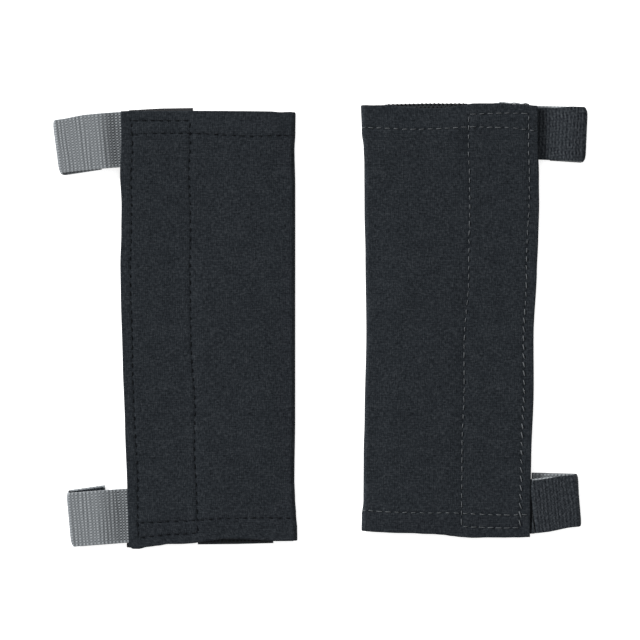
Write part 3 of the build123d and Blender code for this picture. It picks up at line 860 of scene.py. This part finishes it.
class Tape:
    """The lengthwise line of the tape on a ply's inside, and how the tape follows the sleeve's ends."""

    def __init__(self, sleeve, ply):
        self.sleeve, self.ply = sleeve, ply
        self.kind = "hook" if ply.is_front else "loop"
        self.name = f"{sleeve.name}_{self.kind}_tape"
        self.ends = {end: self.end_at(TAPE_INSET, end) for end in (-1, 1)}
        zones = ply.strap_zones()
        cuts = [edge + gap for zone in zones for edge in zone for gap in (-CUT_HALF, CUT_HALF)]
        self.y = np.array(sorted([*np.linspace(self.ends[-1], self.ends[1], TAPE_ROWS), *cuts]))
        self.outer = np.full_like(self.y, TAPE_INSET)
        for low, high in zones:
            self.outer[(self.y > low) & (self.y < high)] = TAPE_CUT
        self.lift = np.interp(self.y, ply.y[:, TAPE_COLUMN], ply.lift[:, TAPE_COLUMN])
        self.grow = {end: self.ends[end] - end * END_ZONE for end in (-1, 1)}
        if zones:  # the ends begin to follow the sleeve's from here
            self.grow = {-1: zones[1][0], 1: zones[0][1]}

    def end_at(self, d, end):
        return self.sleeve.end_line(1 - d / self.sleeve.mean_width, end)

    def shifted(self, y, d):
        """y with both ends moved to where they show, more at one side than at the other."""
        across = (TAPE_INNER - d) / TAPE_WIDTH
        move = {}
        for end in (-1, 1):
            past = TAPE_ENDS.get((self.sleeve.name, self.ply.upper, end), TAPE_END)
            slope = self.end_at(d, end) - self.end_at(TAPE_INSET, end)
            part = ease((y - self.grow[end]) / (self.ends[end] - self.grow[end]))
            move[end] = part * (np.interp(across, (0, 0.5, 1), past) + end * slope)
        return y + move[1] - move[-1]

    def x(self, y, d):
        return self.sleeve.free_edge(y, "") - self.sleeve.outward * d

    def base(self, material):
        """The woven tape itself, with its lengthwise wales."""
        side, rows = self.ply.side, []
        share, soft = TAPE_PROFILE.T
        for y, outer, lift in zip(self.y, self.outer, self.lift):
            d = outer + share * (TAPE_INNER - outer)
            yy = self.shifted(y, d)
            wale = 0.05 * np.cos(2 * np.pi * d / 1.1) * (soft == 0)
            near = CLOTH + TAPE_GAP + soft * TAPE_ROUNDING
            far = CLOTH + TAPE_GAP + TAPE_THICK - soft * TAPE_ROUNDING + wale
            near, far = (self.ply.level - side * depth + lift for depth in (near, far))
            x = self.x(yy, d)
            rows.append(np.concatenate([xyz(x, yy, far), xyz(x, yy, near)[::-1]]))
        flip = (self.sleeve.outward > 0) == self.ply.upper
        return tube_object(f"{self.name}_base", material, np.array(rows), flip, cap="strip")

    def pile(self, material):
        """The tape's hooks, bent over in alternate directions, or its loops, which lie any way."""
        hooks, side = self.ply.is_front, self.ply.side
        draw = np.random.default_rng(40 + self.sleeve.outward + 3 * self.ply.upper)
        face_level = self.ply.level - side * (CLOTH + ROOT_GAP + TAPE_THICK)
        u, angle = np.linspace(0, 1, 7), circle(4) + 0.4
        faces = tube_faces(len(u), len(angle), turn=-1)
        if hooks:
            step_x, step_y, wire, scatter = 1.75, 1.5, 0.11, 0.3
            bend = np.pi * 1.35 * ease(u)
            rise = 0.32 * u ** 0.6 + 0.26 * np.sin(bend * 0.62)
            path = np.stack([0.24 - 0.24 * np.cos(bend), rise], -1)
        else:
            step_x, step_y, wire, scatter = 1.35, 1.45, 0.06, 1.0
            path = np.stack([0.42 * np.cos(np.pi * (1 - u)), 0.55 * np.sin(np.pi * u)], -1)
        build = Builder()
        for row, y in enumerate(np.arange(self.ends[-1] + 2.2, self.ends[1] - 2.0, step_y)):
            start = float(self.outer[np.searchsorted(self.y, y)]) + 1.2
            for d in np.arange(start + (row % 2) * step_x / 2, TAPE_INNER - 1.0, step_x):
                jitter = draw.uniform(-0.3, 0.3, 2) * scatter
                heading = draw.uniform(-0.25, 0.25) + np.pi / 2 * (1 if row % 2 else -1)
                if not hooks:
                    heading = draw.uniform(0, 2 * np.pi)
                tall = draw.uniform(0.85, 1.05)
                go = np.array((np.cos(heading), np.sin(heading), 0.0))
                at_y = float(self.shifted(y, d)) + jitter[1]
                at_z = face_level + float(np.interp(y, self.y, self.lift))
                foot = self.x(at_y, d) + jitter[0], at_y, at_z
                centre = np.array(foot) + path[:, :1] * go + np.outer(path[:, 1] * tall, (0, 0, -side))
                tangent = unit(np.gradient(centre, axis=0))
                beside = unit(np.cross(tangent, (go[1], -go[0], 0.0)))
                rings = round_rings(centre, wire, angle, beside, np.cross(tangent, beside))
                build.add(rings, faces)
        return build.object(f"{self.name}_{self.kind}s", material)


def tape(sleeve, ply):
    """Hook tape on the front ply's inside, loop tape on the back ply's, with its real hooks or loops."""
    strip = Tape(sleeve, ply)
    material = HOOK_MATERIAL if ply.is_front else LOOP_MATERIAL
    base = strip.base(material)
    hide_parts(strip.name)
    for piece in (base, strip.pile(material)):
        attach(piece, ply.body)
    if (sleeve.name, ply.upper) == ("right", False):
        tape_selvedge(sleeve)


def tape_selvedge(sleeve):
    """The pale woven end of the right grip's hook tape, which just shows past the cloth's upper end."""
    angle = circle(8)
    from_free = np.linspace(3.9, 20.0, 60)
    fray = 0.10 * ripple(from_free, 0 * from_free, 2.0, 61)
    y = sleeve.end_y(1 - from_free / sleeve.mean_width, 1, "") + fray
    y = y - 0.4 * ease((from_free - 14) / 6) + 0.4
    x = sleeve.free_edge(y, "") - sleeve.outward * from_free
    rings = xyz(x[:, None], y[:, None] + 0.35 * np.cos(angle), 2.5 + 0.28 * np.sin(angle))
    piece = tube_object("right_hook_tape_selvedge", WEBBING_MATERIAL, rings)
    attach(piece, "right_base")


# ---- straps ----

class StrapLook:
    """How a strap lies: the turns and bends that the CAD's stiff plies leave out, in degrees and mm."""

    turn = 0.0  # of the root ply in plan
    curve = 0.0  # more of it, growing over the root ply's length
    rise = (-0.5, 12.0)  # between which distances the root ply climbs to its full height
    steady = 0.0  # the share of the climb that is spread evenly over the root ply
    skew = 0.0  # how the climb leans across the strap, to follow the sleeve's edge
    reach = 0.0  # how much further out the fold is
    aside = 0.0  # how far the whole strap is moved along the sleeve's edge
    shift = 0.0  # sideways step over the fold
    yaw = 0.0  # turn of the tip ply against the root ply
    tip = 0.0  # how much longer the tip ply is
    radius = 2.0  # of the fold's middle surface
    half_width = 12.65
    bare = 0.0  # how much webbing shows past the facing's upper edge beside the sleeve
    pinch = 0.0  # how much narrower the strap looks at the fold's lower corner
    seam_shade = 0.0  # how much painted shade darkens the weave beside the sleeve, where the strap cups into the seam; it also lowers the weave a little

    def __init__(self, **changes):
        self.__dict__.update(changes)


STRAP_LOOKS = {
    ("left", "upper"): StrapLook(turn=-0.5, curve=2.4, rise=(-0.5, 8), steady=0.15, aside=-0.1,
                                 shift=-1.0, yaw=1.6, tip=1.0, half_width=12.93, pinch=0.8, seam_shade=0.07),
    ("left", "lower"): StrapLook(curve=1.5, aside=-0.6, shift=1.1, yaw=3.2, tip=1.9, seam_shade=0.03),
    ("right", "upper"): StrapLook(turn=-0.1, rise=(3.0, 17), reach=-0.05, aside=0.15, shift=-0.6,
                                  yaw=-1.6, tip=2.0, radius=1.75, bare=0.8),
    ("right", "lower"): StrapLook(curve=-1.6, rise=(-1.6, -0.1), steady=0.25, skew=-0.18, reach=-0.4,
                                  aside=-0.3, shift=0.3, yaw=-6.5, tip=8.2, bare=0.6, pinch=1.0),
}
STRAP_WIDTH = 25.0
SEWN = 11.0  # the length of a strap that is sewn under the sleeve's edge
FINE = 0.05  # between the points of a strap's middle line
UP = np.array((0, 0, 1))
WEBBING_THICK, FACING_THICK = 0.9, 0.5
STRAP_THICK = WEBBING_THICK + FACING_THICK
REST_GAP = 0.05  # under the tip of a folded strap
FOLD_SQUEEZE = 0.4  # how deep a strap's fold is for its height
ROUNDING = 1.1  # how far the two corners of the fold are drawn back


def joint(name):
    return next(j for j in frame["joints"] if j["name"] == name)


class Strap:
    """The middle surface of one strap, from its sewn end round the fold to its cut end."""

    def __init__(self, sleeve, which):
        self.sleeve, self.which = sleeve, which
        self.name = f"{sleeve.name}_{which}_strap"
        self.carrier = f"{sleeve.name}_flap" if sleeve.front_up else f"{sleeve.name}_base"
        self.look = look = STRAP_LOOKS[(sleeve.name, which)]
        self.root = np.array(joint(f"{self.name}_bend")["pos_m"]) / MM
        reach = np.array(joint(f"{self.name}_unfold")["pos_m"]) / MM - self.root
        plan = math.atan2(reach[1], reach[0])
        span = math.hypot(reach[0], reach[1]) + look.reach + (1 - FOLD_SQUEEZE) * look.radius
        self.root_length = span
        self.split = max(span - 5.0, look.rise[1] + 0.6)  # where the root ply's piece meets the tip's

        parts = [self.root_ply(plan, span)]
        parts.append(self.fold(parts[0]))
        parts.append(self.tip_ply(parts[1], plan))
        self.centre, self.tangent, d = (np.concatenate(part) for part in zip(*parts))
        self.across = np.cross(UP, d)
        self.normal = unit(np.cross(self.tangent, self.across))
        steps = np.linalg.norm(np.diff(self.centre, axis=0), axis=1)
        self.run = np.concatenate([[0], np.cumsum(steps)]) - SEWN
        self.length = self.run[-1]

    def root_ply(self, plan, span):
        """Points, tangents and plan directions from the sewn end up to the fold."""
        look = self.look
        run = np.arange(-SEWN, span, FINE)
        bow = np.maximum(run, 0) / span - 0.5
        heading = plan + math.radians(look.turn) + math.radians(look.curve) * bow
        low, high = self.root[2], STRAP_THICK / 2 + REST_GAP + 2 * look.radius
        climb = ease((run - look.rise[0]) / (look.rise[1] - look.rise[0]))
        climb = climb + look.steady * (np.clip(run / span, 0, 1) - climb)
        rise = low + (high - low) * climb
        self.climb = run, rise
        d = np.column_stack([np.cos(heading), np.sin(heading), 0 * heading])
        xy = np.cumsum(d[:, :2] * FINE, axis=0)
        xy = xy - xy[np.searchsorted(run, 0.0)] + self.root[:2] + (0.0, look.aside)
        return np.column_stack([xy, rise]), unit(d + np.outer(np.gradient(rise, run), UP)), d

    def fold(self, root_ply):
        """The same over the fold, a flattened half turn."""
        look, radius = self.look, self.look.radius
        centre, _, d = (part[-1] for part in root_ply)
        phi = np.arange(0.0, np.pi, FINE / radius)[1:]
        yaw = math.radians(look.yaw) * ease((phi / np.pi - 0.3) / 0.7)
        d_fold = np.column_stack([
            d[0] * np.cos(yaw) - d[1] * np.sin(yaw), d[0] * np.sin(yaw) + d[1] * np.cos(yaw), 0 * yaw
        ])
        cos, sin = np.cos(phi)[:, None], np.sin(phi)[:, None]
        ring = centre - radius * UP + radius * (cos * UP + FOLD_SQUEEZE * sin * d_fold)
        ring = ring + np.outer(look.shift * ease(phi / np.pi), (0, 1, 0))
        return ring, unit(FOLD_SQUEEZE * cos * d_fold - sin * UP), d_fold

    def tip_ply(self, fold, plan):
        """The same from the fold to the cut end."""
        low, high = box(f"{self.name}_webbing_tip")
        length = (high[0] - low[0]) - abs(math.sin(plan)) * STRAP_WIDTH + self.look.tip
        out = np.arange(FINE, length, FINE)
        d = np.tile(fold[2][-1], (len(out), 1))
        return fold[0][-1] - out[:, None] * d, -d, d

    def at(self, run, v, height):
        """Points at a distance along the strap, v across it and height above its middle surface."""
        def pick(values):
            return np.stack([np.interp(run, self.run, values[:, k]) for k in range(3)], -1)[:, None]

        if self.look.pinch:
            narrow = ease((run - self.root_length + 14) / 12) * ease((self.root_length + 12 - run) / 8)
            v = v + (self.look.pinch * narrow)[:, None] * ease((2 - v) / 12)
        across = pick(self.across)
        points = pick(self.centre) + v[..., None] * across + height[..., None] * pick(self.normal)
        leaning = np.interp(run[:, None] + self.look.skew * v, *self.climb)
        points[..., 2] += leaning - np.interp(run[:, None], *self.climb)
        middle = self.root_length + np.pi * self.look.radius / 2
        near_fold = ease((run - middle + 4.5) / 3.5) * ease((middle + 4.5 - run) / 3.5)
        corner = ROUNDING * near_fold[:, None] * np.abs(v / self.look.half_width) ** 10
        return points - corner[..., None] * np.cross(across, UP)


def weave(run, v, fold, seam_shade, seed):
    """Height of the woven webbing, 0 to 1: rows of short humps in columns, pulled tight by the seam. The
    same height darkens the webbing's colour in its pits as painted shade.
    """
    uneven = np.clip(0.5 + 0.45 * ripple(run, 0.3 * v, 9.0, seed), 0, 1)
    strain = ease((5.5 - run) / 4)
    # painted shade beside the sleeve, where the strap cups down into the seam; it lowers the weave's
    # relief only slightly
    shade_dip = seam_shade * ease((10.0 - run) / 8.0) * ease((13.5 - np.abs(v - 1.0)) / 9.0)
    row = np.cos(2 * np.pi * (run + 0.12 * ripple(run, 0.2 * v, 5.0, seed + 1)) / WEB_ROW)
    column = np.cos(2 * np.pi * v / WEB_PICK)
    height = 0.68 + (0.05 + 0.17 * uneven) * row + (0.09 + 0.08 * strain) * column
    height = height + (0.26 + 0.16 * strain) * row * column - 0.14 * strain - shade_dip
    worn = 0.55 * ease((run - fold + 1.0) / 2.0) * ease((fold + 7.0 - run) / 3.0)
    return np.clip(height + (0.42 - height) * worn, 0, 1)


def facing_pile(run, v, seed):
    """Height of the ribbed dark facing, 0 to 1: ribs across the strap, a little uneven; the facing's
    colour darkens in its low places as painted shade.
    """
    wander = 0.20 * ripple(run, v * 0.4, 9.0, seed)
    rib = np.cos(2 * np.pi * (run + wander) / FACING_RIB)
    strength = np.clip(0.8 + 0.2 * ripple(run, v, 6.0, seed + 2), 0.3, 1.1)
    return np.clip(0.55 + 0.25 * strength * rib + 0.13 * ripple(run, v, 1.1, seed + 1), 0, 1)


LAYER_COLUMNS, LAYER_STEP = {"webbing": 144, "facing": 108}, 0.19


def layer_face(strap, layer, run, v):
    """Relief height and the outer and inner faces of a layer, above the strap's middle surface."""
    half = STRAP_THICK / 2
    seed = 70 + 5 * strap.sleeve.outward + (3 if strap.which == "upper" else 0)
    if layer == "facing":
        height = facing_pile(run, v, seed)
        return height, half - 0.12 + 0.12 * height, half - FACING_THICK - 0.04
    selvedge = ease((strap.look.half_width - 0.2 - np.abs(v)) / 0.8)
    rows = 0.74 + 0.22 * np.cos(2 * np.pi * run / WEB_ROW)
    height = selvedge * weave(run, v, strap.root_length, strap.look.seam_shade, seed) + (1 - selvedge) * rows
    return height, half - 0.3 + 0.3 * height, half - WEBBING_THICK


def strap_layer(strap, part, layer):
    """One layer of one half of a strap: part 0 is sewn end to middle, part 1 is from there to the tip."""
    grey_up = strap.sleeve.front_up
    first, last = ((-SEWN, strap.split), (strap.split, strap.length))[part]
    half_width = strap.look.half_width
    if layer == "facing" and grey_up:  # the webbing stands out round the facing under it
        half_width -= 0.7
        last -= 0.8 * part
    columns = LAYER_COLUMNS[layer]
    count = int((last - first) / LAYER_STEP)
    run = np.linspace(first, last, count)
    upright = run[:, None]
    v = np.linspace(-1, 1, columns) * (half_width - 0.2) + 0 * upright
    rim_low, rim_high = -half_width + 0 * upright, half_width + 0 * upright
    if layer == "webbing" and not grey_up:  # the facing on top hides the webbing, but for its upper edge
        far = 0.3 * ease((upright - 10.0) / 6.0)
        v = v * (1 - 0.02 * ease((-2.0 - v) / 8.0)) - far * ease((v - 4.0) / 8.0)
        rim_low, rim_high = rim_low + 0.3, rim_high - far
    if layer == "facing" and strap.look.bare:
        recede = strap.look.bare * ease((15.0 - upright) / 9.0)
        v = v - recede * ease((v - 4.0) / 8.0)
        rim_high = rim_high - recede
    side = 1.0 if grey_up == (layer == "webbing") else -1.0
    height, outer, inner = layer_face(strap, layer, upright + 0 * v, v)
    inner = inner + 0 * outer
    if part == 1:  # the cut end is pressed thin
        end = ease((strap.length - upright) / 0.5)
        outer = inner + (outer - inner) * (0.25 + 0.75 * end)
    middle = (outer[:, :1] + inner[:, :1]) / 2
    ring_v = np.concatenate([rim_low, v, rim_high, v[:, ::-8]], axis=1)
    ring_h = np.concatenate([middle, outer, middle, inner[:, ::-8]], axis=1) * side
    # the relief's height, from which the webbing and facing colours paint shade into the low places
    depth = np.concatenate([height[:, :1], height, height[:, -1:], height[:, ::-8]], axis=1)
    rings, uv = strap.at(run, ring_v, ring_h), np.stack([upright + 0 * ring_v, ring_v], -1)
    half_name = ("root", "tip")[part]
    material = WEBBING_MATERIAL if layer == "webbing" else FACING_MATERIAL
    node = f"{strap.name}_{layer}_{half_name}"
    piece = tube_object(f"{node}_ply", material, rings, side > 0, uv, depth=depth)
    blend_strap(strap, part, piece)
    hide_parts(node)
    if layer == "webbing":
        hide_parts(f"{strap.name}_{'sewn_end' if part == 0 else 'fold'}")


def blend_strap(strap, part, piece):
    """Bakes the piece's transform into its mesh."""
    if part == 0:
        out = unit(strap.tangent[np.searchsorted(strap.run, 0.0)])
        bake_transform(piece)
        return
    x, y, z = strap.centre[np.searchsorted(strap.run, strap.root_length)]
    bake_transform(piece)


# ---- the pieces ----

for grip_name in ("left", "right"):
    sleeve = Sleeve(grip_name)
    plies = Ply(sleeve, False), Ply(sleeve, True)
    cloth = sleeve_piece(sleeve, plies)
    for ply in plies:
        stitching(ply)
        fold_stitches(sleeve, ply)
        liner(sleeve, ply)
        tape(sleeve, ply)
    for which in ("upper", "lower"):
        strap = Strap(sleeve, which)
        for part in (0, 1):
            for layer in ("webbing", "facing"):
                strap_layer(strap, part, layer)


# ---- floor, light and camera ----

FLOOR_HALF, FLOOR_Z = 1.6, -0.00002
SKY_STRENGTH = 0.62
CAMERA_HEIGHT, SENSOR = 1.6, 36.0
AIM = (-0.22 * MM, 1.38 * MM)
SEEN_WIDTH, SEEN_AT = 298.4 * MM, 0.004  # how much the picture spans, at the height of the cloth
scene = bpy.context.scene


def backdrop():
    bpy.ops.mesh.primitive_plane_add(size=2 * FLOOR_HALF, location=(0, 0, FLOOR_Z))
    floor = bpy.context.object
    floor.name = "floor"
    floor.data.uv_layers[0].name = "cloth"
    floor.data.materials.append(floor_material())


def sky():
    """Even white light from everywhere."""
    scene.world = bpy.data.worlds.new("studio")
    scene.world.use_nodes = True
    inputs = scene.world.node_tree.nodes["Background"].inputs
    inputs["Color"].default_value = (1.0, 1.0, 1.0, 1.0)
    inputs["Strength"].default_value = SKY_STRENGTH


def soft_box(name, place, size, power):
    """An area light that looks at the middle of the grips."""
    light = bpy.data.lights.new(name, "AREA")
    light.shape, light.size, light.energy = "SQUARE", size, power
    lamp = bpy.data.objects.new(name, light)
    scene.collection.objects.link(lamp)
    lamp.location = place
    lamp.rotation_euler = (-lamp.location).to_track_quat("-Z", "Y").to_euler()


def camera():
    """Straight down from far above, as in the photo."""
    lens = bpy.data.cameras.new("camera")
    lens.sensor_width = SENSOR
    lens.lens = SENSOR * (CAMERA_HEIGHT - SEEN_AT) / SEEN_WIDTH
    lens.clip_end = 20.0
    scene.camera = bpy.data.objects.new("camera", lens)
    scene.collection.objects.link(scene.camera)
    scene.camera.location = (*AIM, CAMERA_HEIGHT)


backdrop()
sky()
soft_box("key", place=(-6.0, 3.3, 3.0), size=1.35, power=925.0)
camera()
scene.view_settings.view_transform = "Standard"
